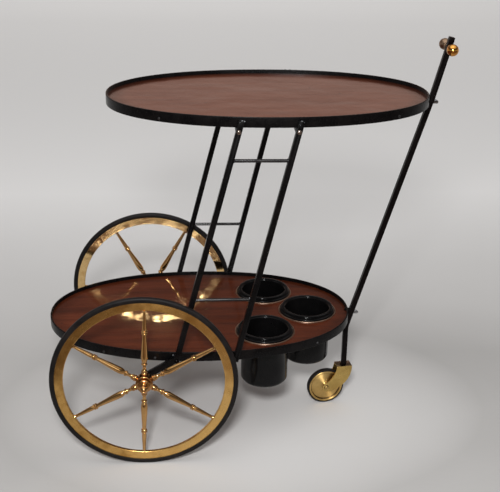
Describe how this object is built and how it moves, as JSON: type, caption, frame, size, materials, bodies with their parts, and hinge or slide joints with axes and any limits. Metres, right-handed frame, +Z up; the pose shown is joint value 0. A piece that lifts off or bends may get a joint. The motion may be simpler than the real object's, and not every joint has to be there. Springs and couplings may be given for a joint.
{
  "type": "serving trolley",
  "caption": "Tiered oval serving trolley with large brass spoked wheels, a castor under a raked push post with a knobbed handle, and lift-out bottle cups in the lower tray.",
  "frame": {"origin": "on the floor, under the middle of the trolley's length and width", "axes": "+X along the trolley towards the push post and the castor, +Y to the far side of the picture, +Z up"},
  "size_m": [0.7566, 0.4832, 0.7532],
  "materials": {
    "lacquered_wood": "reddish-brown stained panel under clear gloss lacquer, grain along the tray's length",
    "black_steel": "black gloss lacquer",
    "brass": "polished, with a light brushed grain and a warm tarnish in the hollows",
    "rubber": "black, satin",
    "cup_black": "black, glossy"
  },
  "bodies": {
    "frame": {"upper_panel": "lacquered_wood", "lower_panel": "lacquered_wood", "upper_band": "black_steel", "lower_band": "black_steel", "near_left_rod": "black_steel", "near_right_rod": "black_steel", "far_left_rod": "black_steel", "far_right_rod": "black_steel", "near_high_rung": "black_steel", "near_low_rung": "black_steel", "far_high_rung": "black_steel", "far_low_rung": "black_steel", "left_rail": "black_steel", "right_rail": "black_steel", "near_strut": "black_steel", "far_strut": "black_steel", "frame_screws": "black_steel", "band_screws": "black_steel", "push_post": "black_steel", "post_bolts": "black_steel", "post_nuts": "black_steel", "post_spacers": "black_steel", "handle_bar": "black_steel", "near_knob": "brass", "far_knob": "brass", "near_axle": "black_steel", "far_axle": "black_steel", "near_cap_nut": "brass", "far_cap_nut": "brass", "near_ring": "brass", "far_ring": "brass", "end_ring": "brass"},
    "near_wheel": {"near_tyre": "rubber", "near_rim": "brass", "near_hub": "brass", "near_spoke_1": "brass", "near_spoke_2": "brass", "near_spoke_3": "brass", "near_spoke_4": "brass", "near_spoke_5": "brass", "near_spoke_6": "brass"},
    "far_wheel": {"far_tyre": "rubber", "far_rim": "brass", "far_hub": "brass", "far_spoke_1": "brass", "far_spoke_2": "brass", "far_spoke_3": "brass", "far_spoke_4": "brass", "far_spoke_5": "brass", "far_spoke_6": "brass"},
    "castor": {"castor_fork": "brass", "castor_stem": "brass", "castor_rivet": "brass"},
    "castor_wheel": {"castor_wheel": "brass", "castor_tyre": "rubber"},
    "near_cup": {"near_cup": "cup_black"},
    "far_cup": {"far_cup": "cup_black"},
    "end_cup": {"end_cup": "cup_black"}
  },
  "joints": [
    {"name": "near_wheel_spin", "type": "hinge", "parent": "frame", "child": "near_wheel", "pos_m": [-0.18833, -0.2095, 0.17], "axis": [0, 1, 0], "continuous": true},
    {"name": "far_wheel_spin", "type": "hinge", "parent": "frame", "child": "far_wheel", "pos_m": [-0.18833, 0.2095, 0.17], "axis": [0, 1, 0], "continuous": true},
    {"name": "castor_swivel", "type": "hinge", "parent": "frame", "child": "castor", "pos_m": [0.2082, 0, 0.085], "axis": [0, 0, 1], "continuous": true},
    {"name": "castor_wheel_spin", "type": "hinge", "parent": "castor", "child": "castor_wheel", "pos_m": [0.17156, -0.00515, 0.038], "axis": [-0.1392, 0.9903, 0], "continuous": true},
    {"name": "near_cup_lift", "type": "slide", "parent": "frame", "child": "near_cup", "axis": [0, 0, 1], "range_m": [0, 0.12]},
    {"name": "far_cup_lift", "type": "slide", "parent": "frame", "child": "far_cup", "axis": [0, 0, 1], "range_m": [0, 0.12]},
    {"name": "end_cup_lift", "type": "slide", "parent": "frame", "child": "end_cup", "axis": [0, 0, 1], "range_m": [0, 0.12]}
  ]
}
